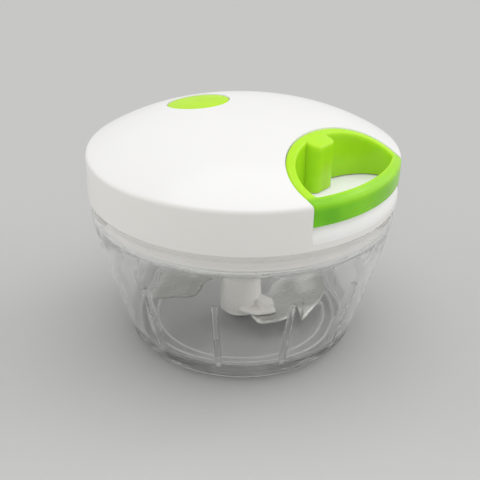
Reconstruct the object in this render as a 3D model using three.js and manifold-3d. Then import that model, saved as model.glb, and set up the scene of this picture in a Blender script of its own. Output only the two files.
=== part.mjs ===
// Hand pulled food chopper: a clear bowl with a bladed rotor on a pin, and a lid whose side handle
// pulls a cord off a sprung reel. Millimetres, +Z up. The origin is the middle of the bowl's foot,
// on the surface it stands on, and the handle pulls out along +X.

import * as THREE from 'three';
import { mergeVertices } from 'three/addons/utils/BufferGeometryUtils.js';
import Module from 'manifold-3d';

const wasm = await Module();
wasm.setup();

// Clearances and mesh counts
const fitGap = 0.3;
const handleGap = 0.4;
const cutOverrun = 5;
const roundSteps = 48;
const smallSteps = 20;
const fullTurn = 2 * Math.PI;

// Lid
const lidRadius = 62.5;
const skirtBottom = 64.9;
const skirtTop = 82.1;
const domeRise = 14.6;
const domePowerShare = 2.7;
const domeStepShares = [0, 0.26, 0.42, 0.55, 0.66, 0.76, 0.85, 0.925, 0.975];
const coverWall = 2.2;
const edgeRound = 1.1;

// Pull handle, a loop whose inner side is half an ellipse and whose outer side is the lid's own round
const handleSetBack = 12.5;
const handleMiddle = lidRadius - handleSetBack;
const handleDepth = 19.8;
const handleHalfWidth = 29.6;
const handleWall = 3.7;
const handleBottom = 74.2;
const handleEnd = handleMiddle - handleDepth;
const bossLength = 9.8;
const bossFront = handleEnd + bossLength;
const bossHalfWidth = 7;
const bossCorner = 4;
const knotPocketRadius = 3.3;
const knotPocketInset = 6;
const knotPocketPlace = handleEnd + knotPocketInset;
const knotRoom = 4.3;
const cordHoleRadius = 1.5;

// Notch in the cover and the pocket behind the handle
const notchBottom = 67.5;
const pocketWall = 1.6;
const pocketBack = handleEnd - handleGap - pocketWall;

// Bowl
const rimTop = 64.6;
const skirtLap = 0.8;
const collarRadius = lidRadius - skirtLap;
const collarBottom = 56.4;
const collarStep = 0.7;
const bowlWall = 2.4;
// Outside of the wall under the collar, as [inset from the collar, height]
const wallInsets = [[12.9, 5], [9.7, 17], [6.7, 28], [3.4, 40], [1.3, 50]];
const wallProfile = wallInsets.map(([inset, height]) => [collarRadius - inset, height]);
const lugTurns = [0, 120, 240];
const lugWidth = 9;
const lugBottom = 50.5;
const footInset = 18.2;
const footRadius = collarRadius - footInset;
const footWidth = 2.6;
const heelShares = [[0.4, 0.14], [0.78, 0.5]];
const floorTop = 5.2;
const floorThickness = 2;
const floorStepInsets = [7, 4.1, 1.2];
const floorStepRadii = floorStepInsets.map((inset) => footRadius - inset);
const floorStepRise = 0.5;
const innerHeelTop = 10.5;
const finCount = 12;
const finWidth = 2;
const finDepth = 2.2;
const finTop = 42.5;
const finTurn = -1;

// Seal ring with lips, on the plug
const sealRise = 1.1;
const sealHeight = 6.8;
const sealLips = 3;
const sealLipReach = 1.3;
const sealBody = 0.5;

// Lid base
const trayTop = handleBottom - fitGap;
const trayThickness = 2;
const bandRecess = 0.8;
const basePlate = 2;
const plugRadius = collarRadius - bowlWall - fitGap - sealLipReach - fitGap;
const plugWall = 2.2;
const plugBottom = 56.3;
const sealBottom = plugBottom + sealRise;
const towerWall = 1.9;
const towerTop = 69.2;
const towerDrop = 3;
const reliefSlotWidth = 0.9;
const reliefSlotHeight = 4.2;
const reliefSlotTurn = -46;
const reliefSlotCount = 3;

// Lid screws
const screwInset = 8.4;
const screwCircle = plugRadius - screwInset;
const screwTurns = [50, 130, 230, 310];
const screwShank = 1.5;
const screwHead = 2.9;
const screwHeadHeight = 1.8;
const screwLength = 12;
const screwBossWall = 2;
const screwPadHeight = 1.4;
const screwCrossWidth = 0.8;
const screwCrossDepth = 0.9;

// Round inlay on the dome, across from the handle
const inlayRadius = 12.6;
const inlayPlace = -24.2;
const inlayThickness = 1;
const inlaySink = 0.2;

// Pin and the boss that holds it
const pinRadius = 2.3;
const pinTop = 30;
const pinChamfer = 0.8;
const pinBossRadius = 6;
const pinBossTop = 6.2;
const pinBossBottom = 1;
const pinSeat = 1.8;

// Rotor
const hubRadius = 9;
const hubBottom = 6.5;
const hubTopRadius = 8.5;
const hubCoreRadius = 4.5;
const hubShoulder = 49;
const hubHeadRadius = 5.2;
const hubHeadTop = 59;
const hubCapRound = 1.6;
const lowerBladeHeight = 9;
const upperBladeHeight = 18.8;
const bladeThickness = 1;
const bladeInset = 2.2;
const bladeReach = footRadius - bladeInset;
const bladeRootRadius = 8;
const lowerBladeTurn = 52;
const upperBladeTurn = 232;
const clampReach = 14.8;
const clampWidth = 4.4;
const clampHeight = 3.5;
const clampLipReach = 1.4;
const clampLipHeight = 1;
const clampTurn = 8;
// Blade outline in shares of its reach, from the hub along the cutting edge and back
const bladeOutlineShares = [
  [0.02, -0.2], [0.06, -0.43], [0.22, -0.47], [0.4, -0.46], [0.53, -0.29], [0.53, -0.5],
  [0.6, -0.44], [0.7, -0.355], [0.8, -0.27], [0.9, -0.13], [0.975, -0.01], [0.995, 0.075],
  [0.93, 0.14], [0.78, 0.175], [0.58, 0.18], [0.36, 0.17], [0.12, 0.15],
];

// Drive shaft and its bearing
const shaftRadius = 6;
const shaftTop = 71.9;
const driveCupRadius = 8.5;
const driveCupTop = 60.5;
const socketTop = 59.4;
const spigotRadius = 3.5;
const spigotTop = 78.4;
const bushWall = 1.7;
const bushFlange = 9.8;
const bushFlangeThickness = 0.8;
const ringGroove = 5.5;
const ringThickness = 1;
const ringOuter = 8.4;
const ringOpening = 40;

// One way clutch between the shaft and the reel
const clutchBottom = 72.2;
const clutchHubRadius = 9.8;
const clutchHubHeight = 2.8;
const toothRoot = 12.9;
const toothTip = 11.5;
const toothCount = 12;
const clutchRingRadius = 15;
const clutchRingHeight = 3.1;
const pawlCount = 3;
const pawlLength = 4;
const pawlWidth = 1.8;
const pawlPlace = 8.9;
const pawlLean = 35;

// Reel, spring and cord
const reelBottom = 75.7;
const reelHeight = 10;
const flangeThickness = 1.6;
const reelInset = 2.7;
const reelFlange = pocketBack - reelInset;
const flangeReach = 5.5;
const drumRadius = reelFlange - flangeReach;
const drumWall = 1.8;
const reelHubRadius = 6.2;
const reelHubHeight = 2.7;
const reelCoverThickness = 1;
const postRadius = 4;
const postBottom = 79;
const postTop = 91.6;
const postBossBottom = 88;
const postBossWall = 2.2;
const springTurns = 5;
const springStepsPerTurn = 20;
const springStrip = 0.5;
const springHeight = 5.6;
const cordRadius = 1;
const cordHeight = reelBottom + reelHeight / 2;
const windingDepth = 3;
const windingRadius = drumRadius + windingDepth;
const leadInset = 1.1;
const leadTangentRadius = reelFlange - leadInset;
const leadBendReach = 1.6;
const leadBendShares = [0.35, 0.75];
const eyeletFlange = 3.3;
const eyeletFlangeThickness = 0.9;
const eyeletRadius = 2.3;
const stopRadius = 2.2;
const stopLength = 3.6;

// Materials, one look for each finish
const finish = (color, roughness, metalness, opacity = 1) =>
  new THREE.MeshStandardMaterial({ color, roughness, metalness, opacity, transparent: opacity < 1 });
const whitePlastic = () => finish(0xf1efec, 0.38, 0);
const innerPlastic = () => finish(0xe4e1da, 0.45, 0);
const greenPlastic = () => finish(0x8fd62a, 0.36, 0);
const clearPlastic = () => finish(0xe9eceb, 0.08, 0, 0.3);
const silicone = () => finish(0xd9d6d0, 0.6, 0);
const steel = () => finish(0xb9bcbe, 0.28, 1);
const springSteel = () => finish(0x7d8288, 0.35, 1);
const bearingPlastic = () => finish(0x4a4d50, 0.5, 0);
const cordFibre = () => finish(0xe8e6df, 0.8, 0);

// A three.js geometry as a solid that can be joined and cut
function solid(geometry) {
  const bare = geometry.index ? geometry.toNonIndexed() : geometry.clone();
  bare.deleteAttribute('normal');
  bare.deleteAttribute('uv');
  const merged = mergeVertices(bare, 1e-4);
  const corners = merged.index.array;
  const kept = [];
  for (let i = 0; i < corners.length; i += 3) {
    const [a, b, c] = [corners[i], corners[i + 1], corners[i + 2]];
    if (a !== b && b !== c && c !== a) kept.push(a, b, c);
  }
  const vertProperties = new Float32Array(merged.attributes.position.array);
  const triVerts = new Uint32Array(kept);
  return new wasm.Manifold(new wasm.Mesh({ numProp: 3, vertProperties, triVerts }));
}

// A finished solid as a named mesh
function piece(name, body, material) {
  const { vertProperties, triVerts } = body.getMesh();
  const geometry = new THREE.BufferGeometry();
  geometry.setAttribute('position', new THREE.BufferAttribute(new Float32Array(vertProperties), 3));
  geometry.setIndex(new THREE.BufferAttribute(new Uint32Array(triVerts), 1));
  geometry.computeVertexNormals();
  const mesh = new THREE.Mesh(geometry, material);
  mesh.name = name;
  return mesh;
}

// A profile of [radius, height] points turned about Z
function turned(profile, steps = roundSteps) {
  const points = profile.map(([radius, height]) => new THREE.Vector2(radius, height));
  return solid(new THREE.LatheGeometry(points, steps).rotateX(Math.PI / 2));
}

// A ring of rectangular section, listed so that its faces point out
function ring(inner, outer, bottom, top, steps = roundSteps) {
  return turned([[inner, bottom], [outer, bottom], [outer, top], [inner, top], [inner, bottom]], steps);
}

function disc(radius, bottom, top, steps = roundSteps) {
  return turned([[0, bottom], [radius, bottom], [radius, top], [0, top]], steps);
}

// A flat outline raised from one height to another
function raised(shape, bottom, top, curveSegments = smallSteps) {
  const depth = top - bottom;
  const geometry = new THREE.ExtrudeGeometry(shape, { depth, bevelEnabled: false, curveSegments });
  return solid(geometry.translate(0, 0, bottom));
}

function box(sizeX, sizeY, sizeZ, x, y, z) {
  return solid(new THREE.BoxGeometry(sizeX, sizeY, sizeZ).translate(x, y, z));
}

// A round bar along X, from one place to another
function barAlongX(radius, start, end, height, steps = smallSteps) {
  const geometry = new THREE.CylinderGeometry(radius, radius, end - start, steps);
  return solid(geometry.rotateZ(Math.PI / 2).translate((start + end) / 2, 0, height));
}

const turnedBy = (body, degrees) => body.rotate([0, 0, degrees]);

function hexagon(radius) {
  const corners = [];
  for (let i = 0; i < 6; i += 1) {
    const angle = (i * fullTurn) / 6;
    corners.push(new THREE.Vector2(radius * Math.cos(angle), radius * Math.sin(angle)));
  }
  return new THREE.Shape(corners);
}

// Height of the dome's outer face at a radius
function domeHeight(radius) {
  return skirtTop + domeRise * (1 - (radius / lidRadius) ** domePowerShare);
}

// Dome points from the rim in to the axis, lowered by some depth
function domeProfile(radius, lowered) {
  const shares = domeStepShares.slice().reverse();
  return shares.map((share) => [share * radius, domeHeight(share * radius) - lowered]);
}

// Everything under the dome, down to a height
function underDome(bottom, lowered = 0) {
  const rim = [[0, bottom], [lidRadius, bottom], [lidRadius, skirtTop - edgeRound - lowered]];
  return turned([...rim, ...domeProfile(lidRadius, lowered)]);
}

// The handle's plan, grown or shrunk by an offset, with its outer side on a round of its own
function handlePlan(offset, outerRadius) {
  const halfWidth = handleHalfWidth + offset;
  const reach = Math.asin(halfWidth / outerRadius);
  const shape = new THREE.Shape();
  shape.moveTo(handleMiddle, -halfWidth);
  shape.lineTo(outerRadius * Math.cos(reach), -halfWidth);
  shape.absarc(0, 0, outerRadius, -reach, reach, false);
  shape.lineTo(handleMiddle, halfWidth);
  shape.absellipse(handleMiddle, 0, handleDepth + offset, halfWidth, Math.PI / 2, 1.5 * Math.PI, false);
  return shape;
}

// Outer radius of the bowl's wall at a height
function wallRadius(height) {
  const above = wallProfile.findIndex(([, z]) => z >= height);
  const [[lowRadius, low], [highRadius, high]] = [wallProfile[above - 1], wallProfile[above]];
  return lowRadius + ((highRadius - lowRadius) * (height - low)) / (high - low);
}

// Bowl: flaring wall under a straight collar, stepped floor, foot ring, inner fins and outer lugs
function makeBowl() {
  const floorBottom = floorTop - floorThickness;
  const [lowRadius, low] = wallProfile[0];
  const heel = heelShares.map(([across, up]) => [footRadius + across * (lowRadius - footRadius), up * low]);
  const innerWall = wallProfile.slice(1).reverse().map(([radius, height]) => [radius - bowlWall, height]);
  const steps = [];
  for (let i = floorStepRadii.length - 1; i >= 0; i -= 1) {
    steps.push([floorStepRadii[i], floorTop + (i + 1) * floorStepRise]);
    steps.push([floorStepRadii[i], floorTop + i * floorStepRise]);
  }
  const shell = turned([
    [0, pinBossBottom],
    [pinBossRadius, pinBossBottom],
    [pinBossRadius, floorBottom],
    [footRadius - footWidth, floorBottom],
    [footRadius - footWidth, 0],
    [footRadius, 0],
    ...heel,
    ...wallProfile,
    [collarRadius - collarStep, collarBottom],
    [collarRadius, collarBottom],
    [collarRadius, rimTop],
    [collarRadius - bowlWall, rimTop],
    [collarRadius - bowlWall, collarBottom],
    ...innerWall,
    [wallRadius(innerHeelTop) - bowlWall, innerHeelTop],
    ...steps,
    [pinBossRadius, floorTop],
    [pinBossRadius, pinBossTop],
    [pinRadius + fitGap, pinBossTop],
    [pinRadius + fitGap, pinSeat],
    [0, pinSeat],
  ]);
  const finHeights = [finTop, ...wallProfile.slice(1, 3).reverse().map(([, height]) => height), innerHeelTop];
  const finSide = (inset) => finHeights.map((z) => new THREE.Vector2(wallRadius(z) - inset, z));
  const finShape = new THREE.Shape([
    ...finSide(bowlWall + finDepth),
    new THREE.Vector2(wallRadius(innerHeelTop) - bowlWall - finDepth, floorTop),
    new THREE.Vector2(wallRadius(floorTop) - bowlWall / 2, floorTop),
    ...finSide(bowlWall / 2).reverse(),
  ]);
  const finGeometry = new THREE.ExtrudeGeometry(finShape, { depth: finWidth, bevelEnabled: false });
  const fin = solid(finGeometry.translate(0, 0, -finWidth / 2).rotateX(Math.PI / 2));
  let bowl = shell;
  for (let i = 0; i < finCount; i += 1) {
    bowl = bowl.add(turnedBy(fin, finTurn + (i * 360) / finCount));
  }
  const lugBand = ring(wallRadius(wallProfile.at(-1)[1]) - bowlWall / 2, collarRadius, lugBottom, collarBottom + fitGap);
  const lugCut = box(bowlWall * 4, lugWidth, rimTop, collarRadius, 0, rimTop / 2);
  for (const turn of lugTurns) {
    bowl = bowl.add(lugBand.intersect(turnedBy(lugCut, turn)));
  }
  return piece('bowl', bowl, clearPlastic());
}

function makePivotPin() {
  const pin = turned([
    [0, pinSeat + fitGap],
    [pinRadius, pinSeat + fitGap],
    [pinRadius, pinTop - pinChamfer],
    [pinRadius - pinChamfer, pinTop],
    [0, pinTop],
  ], smallSteps);
  return piece('pivot_pin', pin, steel());
}

// Rotor: hub with a hexagonal head, its core carries both blades, a spacer and the end cap
function makeHub() {
  const bodyBottom = upperBladeHeight + bladeThickness + fitGap;
  const boreTop = pinTop + fitGap;
  const tube = turned([
    [0, boreTop],
    [pinRadius + fitGap, boreTop],
    [pinRadius + fitGap, hubBottom],
    [hubCoreRadius, hubBottom],
    [hubCoreRadius, bodyBottom],
    [hubRadius, bodyBottom],
    [hubTopRadius, hubShoulder],
    [0, hubShoulder],
  ], roundSteps / 2);
  const head = raised(hexagon(hubHeadRadius), hubShoulder - fitGap, hubHeadTop);
  return piece('blade_hub', tube.add(head), whitePlastic());
}

function makeHubCap() {
  const inner = hubCoreRadius + fitGap;
  const top = lowerBladeHeight - fitGap;
  const cap = turned([
    [inner, hubBottom],
    [hubRadius - hubCapRound, hubBottom],
    [hubRadius - hubCapRound * (1 - Math.SQRT1_2), hubBottom + hubCapRound * (1 - Math.SQRT1_2)],
    [hubRadius, hubBottom + hubCapRound],
    [hubRadius, top],
    [inner, top],
    [inner, hubBottom],
  ], roundSteps / 2);
  return piece('hub_cap', cap, whitePlastic());
}

function makeHubSpacer() {
  const bottom = lowerBladeHeight + bladeThickness + fitGap;
  const top = upperBladeHeight - fitGap;
  const sleeve = ring(hubCoreRadius + fitGap, hubRadius, bottom, top, roundSteps / 2);
  const clampInner = (hubCoreRadius + hubRadius) / 2;
  const blockLength = clampReach - clampInner;
  const block = box(
    blockLength, clampWidth, clampHeight,
    clampInner + blockLength / 2, 0, bottom + clampHeight / 2,
  );
  const lipLength = blockLength + clampLipReach;
  const lip = box(
    lipLength, clampWidth, clampLipHeight,
    clampInner + lipLength / 2, 0, bottom + clampLipHeight / 2,
  );
  return piece('hub_spacer', sleeve.add(turnedBy(block.add(lip), clampTurn)), whitePlastic());
}

function makeBlade(name, height, turn) {
  const corners = bladeOutlineShares.map(
    ([along, across]) => new THREE.Vector2(along * bladeReach, across * bladeReach),
  );
  const top = height + bladeThickness;
  const plate = raised(new THREE.Shape(corners), height, top);
  const root = disc(bladeRootRadius, height, top, roundSteps / 2);
  const hole = disc(hubCoreRadius + fitGap, height - cutOverrun, top + cutOverrun, roundSteps / 2);
  return piece(name, turnedBy(plate.add(root).subtract(hole), turn), steel());
}

// Cover: domed shell and skirt, the wall round the handle's pocket, screw bosses and the post's boss
function makeTopCover() {
  const innerRadius = lidRadius - coverWall;
  const inside = domeProfile(innerRadius, coverWall).reverse();
  const shell = turned([
    ...inside,
    [innerRadius, skirtTop - coverWall],
    [innerRadius, skirtBottom],
    [lidRadius, skirtBottom],
    [lidRadius, skirtTop - edgeRound],
    ...domeProfile(lidRadius, 0),
  ]);
  const within = underDome(skirtBottom, coverWall / 2);
  const core = disc(innerRadius + coverWall / 2, skirtBottom, skirtTop + domeRise);
  const wallBottom = trayTop + fitGap;
  const wallTop = skirtTop + domeRise;
  const pocket = raised(handlePlan(handleGap + pocketWall, lidRadius + cutOverrun), wallBottom, wallTop);
  let cover = shell.add(pocket.intersect(within).intersect(core));
  for (const turn of screwTurns) {
    const boss = disc(screwShank + screwBossWall, skirtBottom + basePlate + fitGap, wallTop, smallSteps);
    cover = cover.add(turnedBy(boss.translate([screwCircle, 0, 0]), turn).intersect(within));
  }
  cover = cover.add(disc(postRadius + postBossWall, postBossBottom, wallTop, smallSteps).intersect(within));
  const opening = raised(handlePlan(handleGap, lidRadius + cutOverrun), notchBottom, wallTop + cutOverrun);
  cover = cover.subtract(opening);
  cover = cover.subtract(disc(postRadius + fitGap, postBossBottom - cutOverrun, postTop + fitGap, smallSteps));
  const holeTop = skirtBottom + basePlate + screwLength;
  const hole = disc(screwShank + fitGap, skirtBottom - cutOverrun, holeTop, smallSteps);
  for (const turn of screwTurns) {
    cover = cover.subtract(turnedBy(hole.translate([screwCircle, 0, 0]), turn));
  }
  const cordWay = eyeletRadius + fitGap;
  cover = cover.subtract(barAlongX(cordWay, handleEnd - cutOverrun, handleEnd + cutOverrun, cordHeight));
  const seat = disc(inlayRadius + fitGap, skirtTop, wallTop + cutOverrun, roundSteps / 2);
  const floor = underDome(skirtBottom, inlaySink + inlayThickness + fitGap);
  cover = cover.subtract(seat.translate([inlayPlace, 0, 0]).subtract(floor));
  return piece('top_cover', cover, whitePlastic());
}

function makeInlay() {
  const plug = disc(inlayRadius, skirtTop, skirtTop + domeRise + cutOverrun, roundSteps / 2);
  const upper = underDome(skirtBottom, inlaySink);
  const lower = underDome(skirtBottom, inlaySink + inlayThickness);
  const inlay = plug.translate([inlayPlace, 0, 0]).intersect(upper).subtract(lower);
  return piece('cover_inlay', inlay, greenPlastic());
}

// Base: plate with a plug ring into the bowl, a tray under the handle and the shaft's bearing tower
function makeLidBase() {
  const outer = lidRadius - coverWall - fitGap;
  const plateTop = skirtBottom + basePlate;
  const boreRadius = shaftRadius + fitGap + bushWall + fitGap;
  const plate = disc(outer, skirtBottom, plateTop);
  const plug = ring(plugRadius - plugWall, plugRadius, plugBottom, plateTop);
  const ledge = ring(plugRadius - plugWall, plugRadius + sealBody, plugBottom, sealBottom - fitGap);
  const tower = disc(boreRadius + towerWall, skirtBottom - towerDrop, towerTop, roundSteps / 2);
  const tray = raised(handlePlan(handleGap + pocketWall, lidRadius + cutOverrun), skirtBottom, trayTop);
  const band = raised(handlePlan(0, lidRadius + cutOverrun), notchBottom + fitGap, trayTop);
  const trayUnder = skirtBottom - cutOverrun;
  const trayRoof = trayTop - trayThickness;
  const trayInside = raised(handlePlan(-trayThickness, outer), trayUnder, trayRoof);
  const hollow = trayInside.intersect(disc(plugRadius - plugWall, trayUnder, trayRoof));
  let base = plate.add(plug).add(ledge).add(tower).add(tray.intersect(disc(outer, skirtBottom, trayTop)));
  base = base.add(band.intersect(disc(lidRadius - bandRecess, notchBottom, trayTop)));
  base = base.subtract(hollow);
  base = base.subtract(disc(boreRadius, skirtBottom - towerDrop - cutOverrun, towerTop + cutOverrun, roundSteps / 2));
  const padBottom = skirtBottom - screwPadHeight;
  for (const turn of screwTurns) {
    const pad = disc(screwHead + screwBossWall, padBottom, plateTop, smallSteps);
    const shank = disc(screwShank + fitGap, padBottom - cutOverrun, plateTop + cutOverrun, smallSteps);
    const head = disc(screwHead + fitGap, padBottom - cutOverrun, padBottom + screwHeadHeight + fitGap, smallSteps);
    base = base.add(turnedBy(pad.translate([screwCircle, 0, 0]), turn));
    base = base.subtract(turnedBy(shank.add(head).translate([screwCircle, 0, 0]), turn));
  }
  const slot = box(
    2 * plugWall + cutOverrun, reliefSlotWidth, reliefSlotHeight + cutOverrun,
    plugRadius, 0, plugBottom + (reliefSlotHeight - cutOverrun) / 2,
  );
  for (let i = 0; i < reliefSlotCount; i += 1) {
    base = base.subtract(turnedBy(slot, reliefSlotTurn + (i * 360) / reliefSlotCount));
  }
  return piece('lid_base', base, innerPlastic());
}

function makeSealRing() {
  const inner = plugRadius + fitGap;
  const lipPitch = sealHeight / sealLips;
  const profile = [[inner, sealBottom]];
  for (let i = 0; i < sealLips; i += 1) {
    const height = sealBottom + i * lipPitch;
    profile.push([inner + sealBody, height]);
    profile.push([inner + sealLipReach, height + lipPitch / 3]);
    profile.push([inner + sealLipReach, height + (2 * lipPitch) / 3]);
  }
  profile.push([inner + sealBody, sealBottom + sealHeight]);
  profile.push([inner, sealBottom + sealHeight]);
  profile.push([inner, sealBottom]);
  return piece('seal_ring', turned(profile), silicone());
}

// Screws up through the base into the cover's bosses
function makeLidScrews() {
  const headBottom = skirtBottom - screwPadHeight;
  const headTop = headBottom + screwHeadHeight;
  const screw = turned([
    [0, headBottom],
    [screwHead, headBottom],
    [screwHead, headTop],
    [screwShank, headTop],
    [screwShank, headTop + screwLength - screwShank],
    [0, headTop + screwLength],
  ], smallSteps);
  const across = box(
    screwHead, screwCrossWidth, 2 * screwCrossDepth,
    0, 0, headBottom,
  );
  const crossed = screw.subtract(across).subtract(turnedBy(across, 90));
  const placed = (turn) => turnedBy(crossed.translate([screwCircle, 0, 0]), turn);
  return screwTurns.map((turn, i) => piece(`lid_screw_${i + 1}`, placed(turn), steel()));
}

// Drive: cup over the rotor's head, shaft through the bush, spigot for the clutch and the reel
function makeDriveShaft() {
  const cupBottom = hubShoulder + fitGap;
  const grooveBottom = towerTop + fitGap;
  const grooveTop = grooveBottom + ringThickness + 2 * fitGap;
  const shaft = turned([
    [0, cupBottom],
    [driveCupRadius, cupBottom],
    [driveCupRadius, driveCupTop],
    [shaftRadius, driveCupTop],
    [shaftRadius, grooveBottom],
    [ringGroove, grooveBottom],
    [ringGroove, grooveTop],
    [shaftRadius, grooveTop],
    [shaftRadius, shaftTop],
    [spigotRadius, shaftTop],
    [spigotRadius, spigotTop],
    [0, spigotTop],
  ], roundSteps / 2);
  const socket = raised(hexagon(hubHeadRadius + fitGap), cupBottom - cutOverrun, socketTop);
  return piece('drive_shaft', shaft.subtract(socket), innerPlastic());
}

function makeDriveBush() {
  const inner = shaftRadius + fitGap;
  const outer = inner + bushWall;
  const flangeTop = skirtBottom - towerDrop - fitGap;
  const flangeBottom = flangeTop - bushFlangeThickness;
  const bush = turned([
    [inner, flangeBottom],
    [bushFlange, flangeBottom],
    [bushFlange, flangeTop],
    [outer, flangeTop],
    [outer, towerTop],
    [inner, towerTop],
    [inner, flangeBottom],
  ], roundSteps / 2);
  return piece('drive_bush', bush, bearingPlastic());
}

function makeRetainingRing() {
  const bottom = towerTop + 2 * fitGap;
  const half = THREE.MathUtils.degToRad(ringOpening / 2);
  const shape = new THREE.Shape();
  shape.absarc(0, 0, ringOuter, half, fullTurn - half, false);
  shape.absarc(0, 0, ringGroove + fitGap, fullTurn - half, half, true);
  return piece('retaining_ring', raised(shape, bottom, bottom + ringThickness), springSteel());
}

// Clutch: a hub on the shaft's spigot, pawls in its slots, and a toothed ring under the reel
function pawlShape(grown) {
  const block = box(
    pawlLength + 2 * grown, pawlWidth + 2 * grown, clutchHubHeight,
    0, 0, clutchBottom + clutchHubHeight / 2,
  );
  return turnedBy(block, pawlLean).translate([pawlPlace, 0, 0]);
}

function makeClutchHub() {
  const hub = ring(
    spigotRadius + fitGap, clutchHubRadius, clutchBottom, clutchBottom + clutchHubHeight, roundSteps / 2,
  );
  let slotted = hub;
  for (let i = 0; i < pawlCount; i += 1) {
    slotted = slotted.subtract(turnedBy(pawlShape(fitGap), (i * 360) / pawlCount));
  }
  return piece('clutch_hub', slotted, bearingPlastic());
}

function makeClutchPawls() {
  const pawls = [];
  for (let i = 0; i < pawlCount; i += 1) {
    pawls.push(piece(`clutch_pawl_${i + 1}`, turnedBy(pawlShape(0), (i * 360) / pawlCount), steel()));
  }
  return pawls;
}

function makeClutchRing() {
  const top = reelBottom - fitGap;
  const corners = [];
  for (let i = 0; i < toothCount; i += 1) {
    const start = (i * fullTurn) / toothCount;
    const end = start + (0.9 * fullTurn) / toothCount;
    corners.push(new THREE.Vector2(toothRoot * Math.cos(start), toothRoot * Math.sin(start)));
    corners.push(new THREE.Vector2(toothTip * Math.cos(end), toothTip * Math.sin(end)));
  }
  const bottom = top - clutchRingHeight;
  const blank = disc(clutchRingRadius, bottom, top, roundSteps / 2);
  const teeth = raised(new THREE.Shape(corners), bottom - cutOverrun, top + cutOverrun);
  return piece('clutch_ring', blank.subtract(teeth), bearingPlastic());
}

// Reel: web, drum and two flanges in one moulding, with the spring's well inside the drum
function makeReel() {
  const top = reelBottom + reelHeight;
  const webTop = reelBottom + flangeThickness;
  const bore = spigotRadius + fitGap;
  const reel = turned([
    [bore, reelBottom],
    [reelFlange, reelBottom],
    [reelFlange, webTop],
    [drumRadius, webTop],
    [drumRadius, top - flangeThickness],
    [reelFlange, top - flangeThickness],
    [reelFlange, top],
    [drumRadius - drumWall, top],
    [drumRadius - drumWall, webTop],
    [reelHubRadius, webTop],
    [reelHubRadius, reelBottom + reelHubHeight],
    [bore, reelBottom + reelHubHeight],
    [bore, reelBottom],
  ], roundSteps / 2);
  return piece('cord_reel', reel, innerPlastic());
}

function makeReelCover() {
  const bottom = reelBottom + reelHeight + fitGap;
  const cover = ring(
    postRadius + 2 * fitGap, drumRadius, bottom, bottom + reelCoverThickness, roundSteps / 2,
  );
  return piece('reel_cover', cover, innerPlastic());
}

function makeSpringPost() {
  return piece('spring_post', disc(postRadius, postBottom, postTop, smallSteps), steel());
}

// Flat strip wound from the post out to the drum
function makeSpring() {
  const inner = postRadius + fitGap + springStrip / 2;
  const outer = drumRadius - drumWall - fitGap - springStrip / 2;
  const steps = springTurns * springStepsPerTurn;
  const outside = [];
  const inside = [];
  for (let i = 0; i <= steps; i += 1) {
    const angle = (i / springStepsPerTurn) * fullTurn;
    const radius = inner + ((outer - inner) * i) / steps;
    const [x, y] = [Math.cos(angle), Math.sin(angle)];
    outside.push(new THREE.Vector2((radius + springStrip / 2) * x, (radius + springStrip / 2) * y));
    inside.push(new THREE.Vector2((radius - springStrip / 2) * x, (radius - springStrip / 2) * y));
  }
  const shape = new THREE.Shape([...outside, ...inside.reverse()]);
  const bottom = postBottom + fitGap;
  return piece('spiral_spring', raised(shape, bottom, bottom + springHeight), springSteel());
}

function makeWoundCord() {
  const bottom = reelBottom + flangeThickness + fitGap;
  const top = reelBottom + reelHeight - flangeThickness - fitGap;
  const cord = ring(drumRadius + fitGap, windingRadius, bottom, top, roundSteps / 2);
  return piece('wound_cord', cord, cordFibre());
}

// The cord from the winding, round the eyelet's mouth and on to its stop in the handle
function makeCordLead() {
  const eyeletMouth = pocketBack - fitGap - eyeletFlangeThickness;
  const bend = eyeletMouth - leadBendReach;
  const turn = Math.acos(leadTangentRadius / bend);
  const leave = new THREE.Vector3(
    leadTangentRadius * Math.cos(turn), leadTangentRadius * Math.sin(turn), cordHeight,
  );
  const corner = new THREE.Vector3(bend, 0, cordHeight);
  const path = new THREE.CatmullRomCurve3([
    leave,
    ...leadBendShares.map((share) => leave.clone().lerp(corner, share)),
    new THREE.Vector3(eyeletMouth, 0, cordHeight),
    new THREE.Vector3(knotPocketPlace - stopLength / 2 - fitGap, 0, cordHeight),
  ], false, 'centripetal');
  const section = new THREE.Shape();
  section.absarc(0, 0, cordRadius, 0, fullTurn, false);
  const tube = new THREE.ExtrudeGeometry(section, {
    steps: smallSteps / 2, extrudePath: path, curveSegments: 8, bevelEnabled: false,
  });
  return piece('cord_lead', solid(tube), cordFibre());
}

function makeEyelet() {
  const wallEnd = handleEnd - handleGap;
  const wallStart = pocketBack - fitGap;
  const tube = barAlongX(eyeletRadius, wallStart - eyeletFlangeThickness, wallEnd, cordHeight);
  const flange = barAlongX(eyeletFlange, wallStart - eyeletFlangeThickness, wallStart, cordHeight);
  const bore = barAlongX(cordHoleRadius, wallStart - cutOverrun, wallEnd + cutOverrun, cordHeight);
  return piece('cord_eyelet', tube.add(flange).subtract(bore), steel());
}

function makeCordStop() {
  const start = knotPocketPlace - stopLength / 2;
  return piece('cord_stop', barAlongX(stopRadius, start, start + stopLength, cordHeight), steel());
}

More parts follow.
